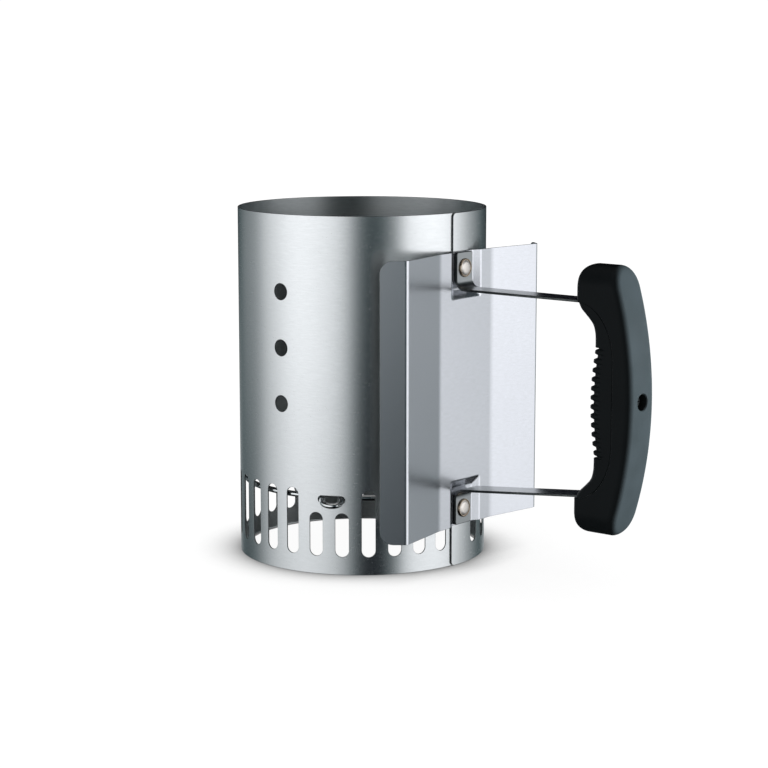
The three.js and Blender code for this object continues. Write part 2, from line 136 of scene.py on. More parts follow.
class Nodes:
    """A short way to write a material's node tree."""

    def __init__(self, name):
        self.material = bpy.data.materials.new(name)
        self.material.use_nodes = True
        self.tree = self.material.node_tree
        self.shader = self.tree.nodes["Principled BSDF"]
        self.coordinates = self.add("ShaderNodeTexCoord").outputs["Object"]

    def add(self, kind, **settings):
        node = self.tree.nodes.new(kind)
        for key, value in settings.items():
            setattr(node, key, value)
        return node

    def link(self, source, target):
        self.tree.links.new(source, target)

    def set(self, **values):
        for key, value in values.items():
            socket = self.shader.inputs[key.replace("_", " ").title().replace("Ior", "IOR")]
            socket.default_value = value

    def noise(self, scale, detail=3, stretch=(1, 1, 1)):
        """Noise with features about 1000 / scale millimetres across, longer along a stretched axis."""
        mapping = self.add("ShaderNodeMapping")
        mapping.inputs["Scale"].default_value = [scale / s for s in stretch]
        texture = self.add("ShaderNodeTexNoise")
        texture.inputs["Scale"].default_value = 1
        texture.inputs["Detail"].default_value = detail
        self.link(self.coordinates, mapping.inputs["Vector"])
        self.link(mapping.outputs["Vector"], texture.inputs["Vector"])
        return texture.outputs["Fac"]

    def ramp(self, value, stops):
        """stops is a list of (position, colour or grey value)."""
        node = self.add("ShaderNodeValToRGB")
        elements = node.color_ramp.elements
        while len(elements) < len(stops):
            elements.new(0.5)
        for element, (position, colour) in zip(elements, stops):
            element.position = position
            element.color = (colour,) * 3 + (1,) if isinstance(colour, (int, float)) else (*colour, 1)
        self.link(value, node.inputs["Fac"])
        return node.outputs["Color"]

    def blend(self, factor, first, second, mode="MIX"):
        node = self.add("ShaderNodeMix", data_type="RGBA", blend_type=mode)
        colours = node.inputs[6:8]
        for socket, value in zip((node.inputs["Factor"], *colours), (factor, first, second)):
            if isinstance(value, bpy.types.NodeSocket):
                self.link(value, socket)
            else:
                socket.default_value = value
        return node.outputs[2]

    def bump(self, height, strength, distance):
        node = self.add("ShaderNodeBump")
        node.inputs["Strength"].default_value = strength
        node.inputs["Distance"].default_value = distance
        self.link(height, node.inputs["Height"])
        self.link(node.outputs["Normal"], self.shader.inputs["Normal"])


def sheet_metal(name, dark, light, roughness, stretch):
    """Satin aluminised steel: fine spangle, faint streaks along the stretched axes, soft clouding."""
    m = Nodes(name)
    m.set(metallic=1)
    streaks = m.noise(1100, 4, stretch)
    spangle = m.noise(2200, 2)
    clouds = m.noise(14, 2)
    mixed = m.blend(0.5, streaks, spangle)
    colour = m.ramp(mixed, [(0.32, dark), (0.68, light)])
    cloudy = m.blend(0.5, colour, m.ramp(clouds, [(0.35, 0.94), (0.7, 1.0)]), "MULTIPLY")
    m.link(cloudy, m.shader.inputs["Base Color"])
    m.link(m.ramp(mixed, [(0.3, roughness + 0.02), (0.7, roughness - 0.02)]), m.shader.inputs["Roughness"])
    m.bump(spangle, 0.08, 0.00002)
    return m.material


def brushed_inside_painted_shade():
    """The inner faces, whose fine marks round the axis spread reflections up and down. Their colour is a
    little darker than the outer face's, as painted shade for the chimney's dim inside.
    """
    m = Nodes("brushed_inside_painted_shade")
    m.set(metallic=1, anisotropic=0.9, anisotropic_rotation=0.25)
    marks = m.noise(1100, 4, (6, 6, 1))
    m.link(m.ramp(marks, [(0.3, (0.62, 0.645, 0.65)), (0.7, (0.68, 0.705, 0.71))]),
           m.shader.inputs["Base Color"])
    m.link(m.ramp(marks, [(0.3, 0.42), (0.7, 0.38)]), m.shader.inputs["Roughness"])
    tangent = m.add("ShaderNodeTangent", direction_type="RADIAL", axis="Z")
    m.link(tangent.outputs["Tangent"], m.shader.inputs["Tangent"])
    return m.material


def plain_metal(name, dark, light, roughness, scale=900, metallic=1):
    m = Nodes(name)
    m.set(metallic=metallic)
    grain = m.noise(scale, 3)
    m.link(m.ramp(grain, [(0.3, dark), (0.7, light)]), m.shader.inputs["Base Color"])
    m.link(m.ramp(grain, [(0.3, roughness + 0.05), (0.7, roughness - 0.03)]), m.shader.inputs["Roughness"])
    m.bump(grain, 0.08, 0.00004)
    return m.material


def moulded_plastic():
    """Black moulded plastic with a fine spark-eroded texture and faint handling marks."""
    m = Nodes("black_plastic")
    m.set(metallic=0, specular_ior_level=0.05)
    pebbles = m.noise(2600, 2)
    marks = m.noise(60, 4)
    m.link(m.ramp(marks, [(0.3, (0.0034, 0.0045, 0.0050)), (0.7, (0.0042, 0.0055, 0.0062))]),
           m.shader.inputs["Base Color"])
    m.link(m.ramp(marks, [(0.3, 0.40), (0.7, 0.47)]), m.shader.inputs["Roughness"])
    m.bump(pebbles, 0.25, 0.00006)
    return m.material


SHEET = sheet_metal("satin_sheet", (0.75, 0.76, 0.765), (0.81, 0.82, 0.825), 0.26, (6, 6, 1))
SHIELD = sheet_metal("satin_shield", (0.77, 0.775, 0.81), (0.83, 0.835, 0.88), 0.25, (1, 6, 1))
FLAT_BAR = sheet_metal("satin_flat_bar", (0.39, 0.405, 0.41), (0.45, 0.465, 0.47), 0.3, (10, 1, 1))
SHEET_INSIDE_SHADED = brushed_inside_painted_shade()
# The strap's cut edges, near black as painted shade along its sides.
BAR_EDGE_SHADE = plain_metal("bar_edge_painted_shade", (0.05, 0.055, 0.055), (0.12, 0.13, 0.13), 0.4)
# Dull sheared edges, made darker still as painted shade: the shadow lines at the seam, the slots and the
# rim.
CUT_EDGE_AND_SHADE = plain_metal("sheared_edge_and_painted_shade", (0.16, 0.18, 0.18), (0.34, 0.36, 0.36), 0.5)
BRIGHT_WIRE = plain_metal("plated_wire", (0.70, 0.72, 0.72), (0.84, 0.85, 0.85), 0.14, 500)
RIVET_RIM = plain_metal("coppered_rim", (0.50, 0.39, 0.28), (0.70, 0.56, 0.43), 0.28)
RIVET_DOME = plain_metal("nickel_dome", (0.90, 0.83, 0.77), (0.97, 0.91, 0.86), 0.4, metallic=0.985)
# Dark steel, made darker still as painted shade for the deep hole that it sits in.
SCREW = plain_metal("dark_screw_painted_shade", (0.045, 0.048, 0.05), (0.08, 0.084, 0.088), 0.5)
PLASTIC = moulded_plastic()

# ---------------------------------------------------------------- meshes


def make_piece(name, points, faces, materials, node, slot, normals=None, face_materials=None):
    """A shown piece that stands for a CAD node. points are in millimetres about the chimney's axis."""
    mesh = bpy.data.meshes.new(name)
    mesh.from_pydata((np.asarray(points) / 1000 + AXIS).tolist(), [], faces)
    for material in materials:
        mesh.materials.append(material)
    mesh.polygons.foreach_set("use_smooth", [True] * len(mesh.polygons))
    if face_materials is not None:
        mesh.polygons.foreach_set("material_index", face_materials)
    if normals is not None:
        mesh.normals_split_custom_set_from_vertices(normals)
    piece = bpy.data.objects.new(name, mesh)
    bpy.context.scene.collection.objects.link(piece)
    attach(piece, "root")
    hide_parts(node)
    return piece


def unit(vectors):
    return vectors / np.linalg.norm(vectors, axis=-1, keepdims=True)


def filled_in(loop, step):
    """The closed loop with points added, so that none of its edges is longer than step."""
    points = []
    for start, end in zip(loop, np.roll(loop, -1, axis=0)):
        count = max(1, math.ceil(np.linalg.norm(end - start) / step))
        points += [start + (end - start) * i / count for i in range(count)]
    return np.array(points)


def sheet_outline(low, high, radii, step):
    """A rectangle's outline, counter-clockwise from its lower left corner, with a radius for each corner."""
    middle = (np.array(low) + high) / 2
    points = []
    for i, (side, radius) in enumerate(zip(((-1, -1), (1, -1), (1, 1), (-1, 1)), radii)):
        corner = middle + np.array(side) * (np.array(high) - middle)
        centre = corner - np.array(side) * radius
        turns = np.radians(180 + 90 * i + np.linspace(0, 90, 9 if radius else 1))
        points += [centre + radius * np.array([math.cos(a), math.sin(a)]) for a in turns]
    return filled_in(np.array(points), step)


def hole(middle, width, bottom, top, sides=48):
    """A slot with round ends, or a round hole, clockwise."""
    radius = min(width, top - bottom) / 2
    reach = np.array([width / 2 - radius, (top - bottom) / 2 - radius])
    angles = -(np.arange(sides) + 0.5) * 2 * math.pi / sides
    ways = np.stack([np.cos(angles), np.sin(angles)], axis=1)
    loop = np.array([middle, (bottom + top) / 2]) + np.sign(ways) * reach + radius * ways
    return filled_in(loop, 4)


def round_hole(middle, height, diameter, sides=36):
    return hole(middle, diameter, height - diameter / 2, height + diameter / 2, sides=sides)


def inward(loop):
    """For each point of a loop, the way into the material, which lies on the loop's left."""
    ahead = unit(np.roll(loop, -1, axis=0) - loop)
    left = np.stack([-ahead[:, 1], ahead[:, 0]], axis=1)
    before = np.roll(left, 1, axis=0)
    return (left + before) / (1 + np.sum(left * before, axis=1))[:, None]


def inside(points, loops):
    """Which of the points lie in the material, by counting the edges that a line to the right crosses."""
    odd = np.zeros(len(points), bool)
    for loop in loops:
        start, end = loop, np.roll(loop, -1, axis=0)
        rising = end[:, 1] - start[:, 1]
        rising = np.where(rising == 0, 1e-12, rising)
        x, y = points[:, :1], points[:, 1:]
        spans = (start[:, 1] > y) != (end[:, 1] > y)
        crossing = start[:, 0] + (y - start[:, 1]) * (end[:, 0] - start[:, 0]) / rising
        odd ^= (np.sum(spans & (crossing > x), axis=1) % 2).astype(bool)
    return odd


def clear_of(points, loops, distance):
    corners = np.concatenate(loops)
    apart = np.linalg.norm(points[:, None, :] - corners[None, :, :], axis=2).min(axis=1)
    return apart > distance


def grid(columns, rows):
    return np.stack(np.meshgrid(columns, rows), axis=2).reshape(-1, 2)


def sheet_mesh(loops, free, place, thickness, edge):
    """Points, normals, faces and each face's material for a bent sheet. loops are its outline and
    its holes on the flat, free are more points inside them, and place bends flat points into shape.
    The sheet's edges are rounded to the radius edge. Its rim takes the second material and its back
    the third."""
    ways = [inward(loop) for loop in loops]
    inset = [loop + edge * way for loop, way in zip(loops, ways)]
    free = free[inside(free, inset)]
    free = free[clear_of(free, inset, 0.7)]
    starts = np.cumsum([0] + [len(loop) for loop in inset])
    flat = np.concatenate(inset + [free])
    rim = []
    for start, loop in zip(starts, inset):
        rim += [(start + i, start + (i + 1) % len(loop)) for i in range(len(loop))]
    result = geometry.delaunay_2d_cdt([Vector(p) for p in flat], rim, [], 0, 1e-6)
    flat = np.array([tuple(p) for p in result[0]])
    triangles = np.array(result[2])
    triangles = triangles[inside(flat[triangles].mean(axis=1), inset)]
    moved_to = {source: i for i, sources in enumerate(result[3]) for source in sources}

    step = 0.04
    def bent(points):
        along = place(points + [step, 0]) - place(points - [step, 0])
        upward = place(points + [0, step]) - place(points - [0, step])
        return place(points), unit(np.cross(along, upward))

    front, normal = bent(flat)
    count = len(flat)
    points = [front, front - thickness * normal]
    normals = [normal, -normal]
    faces = [tuple(t) for t in triangles] + [tuple(t[::-1] + count) for t in triangles]
    total = 2 * count
    rounds = np.radians([30, 60, 90])
    stations = [(1 - math.sin(a), edge * (1 - math.cos(a)), math.cos(a), math.sin(a)) for a in rounds]
    stations += [(s, thickness - d, -c, w) for s, d, c, w in reversed(stations)]
    for start, loop, way in zip(starts, loops, ways):
        ids = np.array([moved_to[start + i] for i in range(len(loop))])
        rows = [ids]
        for inset_share, depth, facing, outwards in stations:
            flat_row = loop + edge * inset_share * way
            row, row_normal = bent(flat_row)
            out = unit(place(flat_row - step * way) - place(flat_row + step * way))
            points.append(row - depth * row_normal)
            normals.append(unit(facing * row_normal + outwards * out))
            rows.append(total + np.arange(len(loop)))
            total += len(loop)
        rows.append(ids + count)
        for first, second in zip(rows, rows[1:]):
            for i in range(len(loop)):
                j = (i + 1) % len(loop)
                faces.append((first[j], first[i], second[i], second[j]))
    kinds = [0] * len(triangles) + [2] * len(triangles) + [1] * (len(faces) - 2 * len(triangles))
    return np.concatenate(points), np.concatenate(normals), [tuple(map(int, f)) for f in faces], kinds


def sheet_piece(name, loops, free, place, thickness, edge, materials, node, slot):
    points, normals, faces, kinds = sheet_mesh(loops, free, place, thickness, edge)
    return make_piece(name, points, faces, materials, node, slot, normals, kinds)


def bent_line(corners, bends):
    """A function from the distance along a line to (place, heading), where the line runs from corner
    to corner and each corner between is rounded to its bend radius. Distance 0 is half way along."""
    corners = np.array(corners, float)
    legs = unit(np.diff(corners, axis=0))
    headings = np.unwrap(np.arctan2(legs[:, 1], legs[:, 0]))
    turns = np.diff(headings)
    setbacks = np.array([0, *(np.array(bends) * np.tan(abs(turns) / 2)), 0])
    lengths = np.linalg.norm(np.diff(corners, axis=0), axis=1) - setbacks[:-1] - setbacks[1:]
    at, heading = [0.0], [headings[0]]
    for i, length in enumerate(lengths):
        at.append(at[-1] + length)
        heading.append(headings[i])
        if i < len(turns):
            at.append(at[-1] + bends[i] * abs(turns[i]))
            heading.append(headings[i + 1])
    fine = np.arange(0, at[-1], 0.02)
    way = np.interp(fine, at, heading)
    middle_way = (way[1:] + way[:-1]) / 2
    x = corners[0, 0] + np.concatenate([[0], np.cumsum(np.cos(middle_way) * 0.02)])
    y = corners[0, 1] + np.concatenate([[0], np.cumsum(np.sin(middle_way) * 0.02)])
    half = at[-1] / 2

    def follow(distance):
        position = np.clip(distance + half, 0, fine[-1])
        beyond = distance + half - position
        angle = np.interp(position, fine, way)
        return (np.interp(position, fine, x) + beyond * np.cos(angle),
                np.interp(position, fine, y) + beyond * np.sin(angle), angle)

    return follow, half


def lathe(profile, origin, way, sides=48):
    """Points and faces of a turned piece. profile is (radius, distance along way) from end to end."""
    way = np.array(way, float)
    side = unit(np.cross(way, (0, 0, 1) if abs(way[2]) < 0.9 else (1, 0, 0)))
    other = np.cross(way, side)
    points, rows = [], []
    for radius, along in profile:
        centre = np.array(origin) + way * along
        if radius == 0:
            rows.append([len(points)] * sides)
            points.append(centre)
            continue
        rows.append(list(range(len(points), len(points) + sides)))
        for a in np.arange(sides) * 2 * math.pi / sides:
            points.append(centre + radius * (math.cos(a) * side + math.sin(a) * other))
    faces = []
    for first, second in zip(rows, rows[1:]):
        for i in range(sides):
            j = (i + 1) % sides
            corners = [first[i], first[j], second[j], second[i]]
            faces.append(tuple(dict.fromkeys(corners)))
    return np.array(points), faces


def rounded(profile, steps=4):
    """A turned profile of (radius, along, corner radius) with its corners rounded."""
    points = [np.array(p[:2], float) for p in profile]
    result = [tuple(points[0])]
    for before, here, after, (_, _, radius) in zip(points, points[1:], points[2:], profile[1:]):
        if radius == 0:
            result.append(tuple(here))
            continue
        start = here + unit(before - here) * radius
        end = here + unit(after - here) * radius
        for t in np.linspace(0, 1, steps + 1):
            result.append(tuple((1 - t) ** 2 * start + 2 * t * (1 - t) * here + t ** 2 * end))
    return result + [tuple(points[-1])]


def tube(points, radius, sides=16):
    """A closed loop of wire along the points."""
    points = np.array(points)
    ahead = unit(np.roll(points, -1, axis=0) - np.roll(points, 1, axis=0))
    side = unit(np.cross(ahead, (0, 0, 1)))
    up = np.cross(side, ahead)
    angles = np.arange(sides) * 2 * math.pi / sides
    shell = (points[:, None, :] + radius * (np.cos(angles)[None, :, None] * side[:, None, :]
                                            + np.sin(angles)[None, :, None] * up[:, None, :]))
    faces = []
    count = len(points)
    for i in range(count):
        for k in range(sides):
            j, m = (i + 1) % count, (k + 1) % sides
            faces.append((i * sides + k, i * sides + m, j * sides + m, j * sides + k))
    return shell.reshape(-1, 3), faces


def smooth_path(corners, steps):
    """A closed Catmull-Rom curve through the corners, in even steps."""
    corners = np.array(corners)
    fine = []
    for i in range(len(corners)):
        a, b, c, d = (corners[(i + k) % len(corners)] for k in (-1, 0, 1, 2))
        for t in np.linspace(0, 1, 12, endpoint=False):
            fine.append(0.5 * (2 * b + (c - a) * t + (2 * a - 5 * b + 4 * c - d) * t ** 2
                               + (3 * b - a - 3 * c + d) * t ** 3))
    fine = np.array(fine + [fine[0]])
    lengths = np.concatenate([[0], np.cumsum(np.linalg.norm(np.diff(fine, axis=0), axis=1))])
    even = np.linspace(0, lengths[-1], steps, endpoint=False)
    return np.stack([np.interp(even, lengths, fine[:, k]) for k in range(3)], axis=1)


def tidy_mesh(piece, *cutters):
    """Joins coinciding points, cuts away the cutters and turns the faces outwards."""
    def clean(mesh):
        work = bmesh.new()
        work.from_mesh(mesh)
        bmesh.ops.remove_doubles(work, verts=work.verts, dist=1e-6)
        bmesh.ops.dissolve_degenerate(work, edges=work.edges, dist=1e-7)
        bmesh.ops.recalc_face_normals(work, faces=work.faces)
        work.to_mesh(mesh)
        work.free()

    clean(piece.data)
    for points, faces in cutters:
        mesh = bpy.data.meshes.new("cutter")
        mesh.from_pydata((np.asarray(points) / 1000 + AXIS).tolist(), [], faces)
        clean(mesh)
        cutter = bpy.data.objects.new("cutter", mesh)
        bpy.context.scene.collection.objects.link(cutter)
        cut = piece.modifiers.new("cut", "BOOLEAN")
        cut.operation, cut.solver, cut.object = "DIFFERENCE", "MANIFOLD", cutter
        after = bpy.data.meshes.new_from_object(piece.evaluated_get(bpy.context.evaluated_depsgraph_get()))
        piece.modifiers.clear()
        piece.data = after
        bpy.data.objects.remove(cutter)
    piece.data.polygons.foreach_set("use_smooth", [True] * len(piece.data.polygons))
    piece.data.set_sharp_from_angle(angle=math.radians(38))
    weigh = piece.modifiers.new("weighted_normals", "WEIGHTED_NORMAL")
    weigh.keep_sharp = True
    weigh.weight = 90


# ---------------------------------------------------------------- chimney


def body_place(flat):
    """Bends the flat sheet round the axis, sinking where it goes under its own first edge."""
    angle = flat[:, 0] / BODY_RADIUS
    share = np.clip((np.degrees(angle) - LAP_FULL + LAP_DIP) / LAP_DIP, 0, 1)
    radius = BODY_RADIUS - LAP_DEPTH * share ** 2 * (3 - 2 * share)
    return np.stack([radius * np.cos(angle), radius * np.sin(angle), flat[:, 1]], axis=1)


def round_body(degrees):
    return math.radians(degrees) * BODY_RADIUS


def beside_hook(degrees):
    return any(abs((degrees - hook + 180) % 360 - 180) < SLOT_PITCH for hook in HOOK_ANGLES)


def body_loops():
    first, last = round_body(SEAM), round_body(360 + LAP_END)
    loops = [sheet_outline((first, 0), (last, BODY_HEIGHT), (SEAM_CORNER, 0, 0, SEAM_CORNER), 1.8)]
    for degrees in range(SLOT_PITCH, 360, SLOT_PITCH):
        if degrees == MISSING_SLOT:
            continue
        top = SHORT_SLOT_TOP if beside_hook(degrees) else SLOT_TOP
        loops.append(hole(round_body(degrees), SLOT_WIDTH, SLOT_BOTTOM, top))
    for degrees in WALL_HOLE_ANGLES:
        for height in WALL_HOLE_HEIGHTS:
            loops.append(round_hole(round_body(degrees % 360), height, WALL_HOLE, 48))
    at_wall = BODY_RADIUS - BODY_SHEET / 2 - RING_RADIUS
    for degrees in HOOK_ANGLES:
        middle = round_body(degrees % 360) + HOOK_LEAN * at_wall
        height = RING_HEIGHT - HOOK_FALL * at_wall
        loops.append(hole(middle, 2 * HOOK_HALF_WIDTH + WIRE + 1.8, height - WIRE / 2 - 0.6,
                          height + WIRE / 2 + 0.6))
    for height in RIVETS.values():
        loops += [round_hole(round_body(turn), height, RIVET_HOLE) for turn in (0, 360)]
    return loops


body_free = grid(np.arange(round_body(SEAM) + 1, round_body(360 + LAP_END), 1.9),
                 np.arange(3, BODY_HEIGHT, 5.5))
sheet_piece("rolled_body", body_loops(), body_free, body_place, BODY_SHEET, 0.18,
            [SHEET, CUT_EDGE_AND_SHADE, SHEET_INSIDE_SHADED], "body_sheet", "sheet_steel")

# ---------------------------------------------------------------- heat shield

shield_line = [(x, -y) for x, y in reversed(SHIELD_CORNERS)] + list(SHIELD_CORNERS)
follow_shield, shield_reach = bent_line(shield_line, [*reversed(SHIELD_BENDS), *SHIELD_BENDS])


def level_slope(share, corner):
    """Rises from 0 to 1 with share, evenly but for a rounded corner at each end of the slope."""
    share = np.clip(share, 0, 1)
    from_end = np.minimum(share, 1 - share)
    rise = np.where(from_end < corner, from_end ** 2 / (2 * corner), from_end - corner / 2) / (1 - corner)
    return np.where(share < 0.5, rise, 1 - rise)


def pocket_shape(s, z):
    """How deep the pressed pockets are, from 0 at the panel to 1 on their floors."""
    from_end = np.minimum(SHIELD_TOP - z, z - SHIELD_BOTTOM)
    across_share = (POCKET_HALF - abs(s)) / POCKET_TAPER
    along_share = (POCKET_HEIGHT - from_end) / POCKET_TAPER
    nearest = np.clip(np.minimum(across_share, along_share), -0.2, 1.2)
    spread = 0.35
    gap = np.clip(abs(across_share - along_share) / spread, 0, 1)
    nearest = nearest - spread * (1 - gap) ** 2 / 4
    return level_slope(nearest, 0.16)


def shield_place(flat):
    s, z = flat[:, 0], flat[:, 1]
    x, y, heading = follow_shield(s)
    front = SHIELD_SHEET / 2
    depth = POCKET_DEPTH * pocket_shape(s, z)
    return np.stack([x + front * np.sin(heading) - depth, y - front * np.cos(heading), z], axis=1)


shield_columns = np.unique(np.concatenate([
    np.arange(-shield_reach + 1, shield_reach, 3.5),
    *[side * np.arange(shield_reach - 21, shield_reach - 14, 0.3) for side in (-1, 1)],
    *[side * np.arange(23, 31, 0.6) for side in (-1, 1)],
]))
pocket_columns = np.arange(-POCKET_HALF - 2, POCKET_HALF + 2, 0.6)
shield_free = [grid(shield_columns, np.arange(SHIELD_BOTTOM + 3, SHIELD_TOP, 6))]
for edge, way in ((SHIELD_TOP, -1), (SHIELD_BOTTOM, 1)):
    shield_free.append(grid(pocket_columns, edge + way * np.arange(0.9, POCKET_HEIGHT + 3, 0.7)))
shield_outline = sheet_outline((-shield_reach, SHIELD_BOTTOM), (shield_reach, SHIELD_TOP),
                               [SHIELD_CORNER_RADIUS] * 4, 0.8)
shield_loops = [shield_outline, *[round_hole(0, height, RIVET_HOLE) for height in RIVETS.values()]]
sheet_piece("folded_shield", shield_loops, np.concatenate(shield_free), shield_place, SHIELD_SHEET, 0.15,
            [SHIELD, CUT_EDGE_AND_SHADE, SHEET_INSIDE_SHADED], "heat_shield", "sheet_steel")

# ---------------------------------------------------------------- strap handle

strap_line = [
    (STRAP_TAB, SHIELD_TOP - 0.4),
    (STRAP_TAB, STRAP_UPPER_ARM),
    (STRAP_RUN, STRAP_UPPER_ARM),
    (STRAP_RUN, STRAP_LOWER_ARM + STRAP_LOWER_RISE * (STRAP_RUN - STRAP_TAB)),
    (STRAP_TAB, STRAP_LOWER_ARM),
    (STRAP_TAB, SHIELD_BOTTOM + 0.4),
]
follow_strap, strap_reach = bent_line(strap_line, [STRAP_BEND] * 4)


def strap_at(proud):
    """Bends the flat bar, with its front face raised by proud."""
    def place(flat):
        x, z, heading = follow_strap(flat[:, 0])
        front = STRAP_THICK / 2 + proud
        return np.stack([x - front * np.sin(heading), flat[:, 1], z + front * np.cos(heading)], axis=1)
    return place


def strap_loops(grow, corner):
    return [sheet_outline((-strap_reach, -STRAP_WIDTH / 2 - grow), (strap_reach, STRAP_WIDTH / 2 + grow),
                          [corner] * 4, 1.5)]


strap_holes = [
    round_hole(-strap_reach + SHIELD_TOP - 0.4 - RIVETS["rivet_upper"], 0, RIVET_HOLE),
    round_hole(strap_reach + SHIELD_BOTTOM + 0.4 - RIVETS["rivet_lower"], 0, RIVET_HOLE),
]
strap_free = grid(np.arange(-strap_reach + 1, strap_reach, 1.2), np.arange(-7, 7.1, 1.75))
sheet_piece("bent_strap", strap_loops(0, 1.4) + strap_holes, strap_free, strap_at(0), STRAP_THICK, 0.4,
            [FLAT_BAR, BAR_EDGE_SHADE, FLAT_BAR], "handle_strap", "strap_steel")

# ---------------------------------------------------------------- rivets, screw and grate

strap_front = STRAP_TAB + STRAP_THICK / 2
body_inside = BODY_RADIUS - LAP_DEPTH - BODY_SHEET
dome_radius = 4.75
# Each point is its distance from the rivet's own axis and from the chimney's, and its corner's radius.
rivet_profile = rounded([
    (0, body_inside - 1.7, 0), (3.3, body_inside - 1.6, 1), (4.2, body_inside - 0.9, 0.5),
    (4.2, body_inside - 0.1, 0), (2.4, body_inside - 0.1, 0), (2.4, strap_front + 0.1, 0),
    (5.75, strap_front + 0.1, 0), (5.75, strap_front + 0.7, 0.3), (5.4, strap_front + 1.2, 0.25),
    (5.05, strap_front + 1.2, 0.2), (4.8, strap_front + 0.8, 0.1), (4.6, strap_front + 0.9, 0.15),
    (3.4, strap_front + 1.6, 1), (0, strap_front + 1.9, 0),
])
for node, height in RIVETS.items():
    points, faces = lathe(rivet_profile, (0, 0, height), (1, 0, 0))
    middles = [points[list(face)].mean(axis=0) for face in faces]
    domed = [int(math.hypot(m[1], m[2] - height) < dome_radius and m[0] > strap_front) for m in middles]
    rivet = make_piece("turned_" + node, points, faces, [RIVET_RIM, RIVET_DOME], node, "rivet_metal",
                       face_materials=domed)
    tidy_mesh(rivet)

screw_seat = SCREW_SEAT + 0.25
screw_profile = rounded([
    (0, 186.5, 0), (1, 186.6, 0), (2, 188.5, 0.4), (2, screw_seat, 0), (4.2, screw_seat, 0.3),
    (4.2, screw_seat + 1.3, 0.5), (3, screw_seat + 2.3, 1), (0, screw_seat + 2.6, 0),
])
recess_floor = screw_seat + 1.1


def recess_arm(half_y, half_z):
    """One box of the cross-shaped recess in the screw's head."""
    corners = [(x, y, SCREW_HEIGHT + z) for x in (recess_floor, recess_floor + 2.9)
               for y in (-half_y, half_y) for z in (-half_z, half_z)]
    return corners, [(0, 1, 3, 2), (4, 6, 7, 5), (0, 4, 5, 1), (2, 3, 7, 6), (0, 2, 6, 4), (1, 5, 7, 3)]


screw = make_piece("turned_screw", *lathe(screw_profile, (0, 0, SCREW_HEIGHT), (1, 0, 0)), [SCREW],
                   "grip_screw", "screw_steel")
tidy_mesh(screw, recess_arm(2.2, 0.45), recess_arm(0.45, 2.2))


def around(radius, degrees):
    return np.array([radius * math.cos(math.radians(degrees)), radius * math.sin(math.radians(degrees))])


def ring_corners():
    """Points of the ring's wire, which is bent out into a long loop at each hook."""
    corners = []
    root = math.degrees(math.atan((HOOK_HALF_WIDTH + 3.5) / RING_RADIUS))
    half = [(RING_RADIUS + 1, HOOK_HALF_WIDTH + 0.6), (RING_RADIUS + 2.6, HOOK_HALF_WIDTH)]
    half += [(HOOK_REACH - HOOK_HALF_WIDTH * (1 - math.sin(a)), HOOK_HALF_WIDTH * math.cos(a))
             for a in np.radians([0, 30, 60])]
    hook = [(x, -y) for x, y in half] + [(HOOK_REACH, 0)] + half[::-1]
    for angle in HOOK_ANGLES:
        for reach, side in hook:
            beyond = reach - RING_RADIUS
            away = math.degrees(math.atan2(side + HOOK_LEAN * beyond, reach))
            flat = around(math.hypot(reach, side + HOOK_LEAN * beyond), angle + away)
            corners.append((*flat, RING_HEIGHT - HOOK_FALL * beyond))
        for degrees in np.linspace(angle + root, angle + 120 - root, 17):
            corners.append((*around(RING_RADIUS, degrees), RING_HEIGHT))
    return corners


make_piece("wire_ring", *tube(smooth_path(ring_corners(), 900), WIRE / 2), [BRIGHT_WIRE], "grate_ring",
           "grate_wire")


def wire_bar(name, node, middle, way, length):
    """A straight wire with slightly rounded ends."""
    half, radius = length / 2, WIRE / 2
    profile = rounded([(0, -half, 0), (radius, -half, 0.5), (radius, half, 0.5), (0, half, 0)])
    bar = make_piece(name, *lathe(profile, middle, way, 24), [BRIGHT_WIRE], node, "grate_wire")
    tidy_mesh(bar)


grate_turn = HOOK_ANGLES[2] - 180
bar_height = RING_HEIGHT + WIRE + 0.25
for i in range(BAR_COUNT):
    aside = (i - (BAR_COUNT - 1) / 2) * BAR_PITCH
    length = 2 * math.sqrt((RING_RADIUS + 0.9) ** 2 - aside ** 2)
    wire_bar(f"wire_bar_{i + 1}", f"grate_bar_{i + 1}", (*around(aside, grate_turn), bar_height),
             (*around(1, grate_turn + 90), 0), length)
wire_bar("wire_stiffener", "grate_stiffener", (0, 0, RING_HEIGHT), (*around(1, grate_turn), 0),
         2 * (RING_RADIUS - WIRE / 2 - 0.25))

# ---------------------------------------------------------------- grip


def grip_back(dz):
    """The grip's outermost line, as a distance from the chimney's axis."""
    shoulder = 0.81 * GRIP_HALF_LENGTH
    lean = math.asin(shoulder / GRIP_BACK_RADIUS)
    reach = GRIP_BACK - GRIP_BACK_RADIUS * (1 - math.cos(lean))
    t = np.linspace(0, 1, 200)
    ends = np.array([(shoulder, reach), (shoulder + 8, reach - 8 * math.sin(lean)),
                     (GRIP_HALF_LENGTH - 1, 196.5), (GRIP_HALF_LENGTH, 194.4)])
    weights = np.stack([(1 - t) ** 3, 3 * t * (1 - t) ** 2, 3 * t ** 2 * (1 - t), t ** 3], axis=1)
    curve = weights @ ends
    arc = GRIP_BACK - GRIP_BACK_RADIUS + np.sqrt(GRIP_BACK_RADIUS ** 2 - dz ** 2)
    return np.where(abs(dz) < shoulder, arc, np.interp(abs(dz), curve[:, 0], curve[:, 1]))


def head_front(dz):
    """The two heads' face towards the chimney, with its far corner rounded off."""
    t = np.linspace(0, 1, 100)
    corners = np.array([(70, GRIP_FRONT), (79, GRIP_FRONT), (GRIP_HALF_LENGTH, 176)])
    curve = np.stack([(1 - t) ** 2, 2 * t * (1 - t), t ** 2], axis=1) @ corners
    return np.interp(abs(dz), curve[:, 0], curve[:, 1])


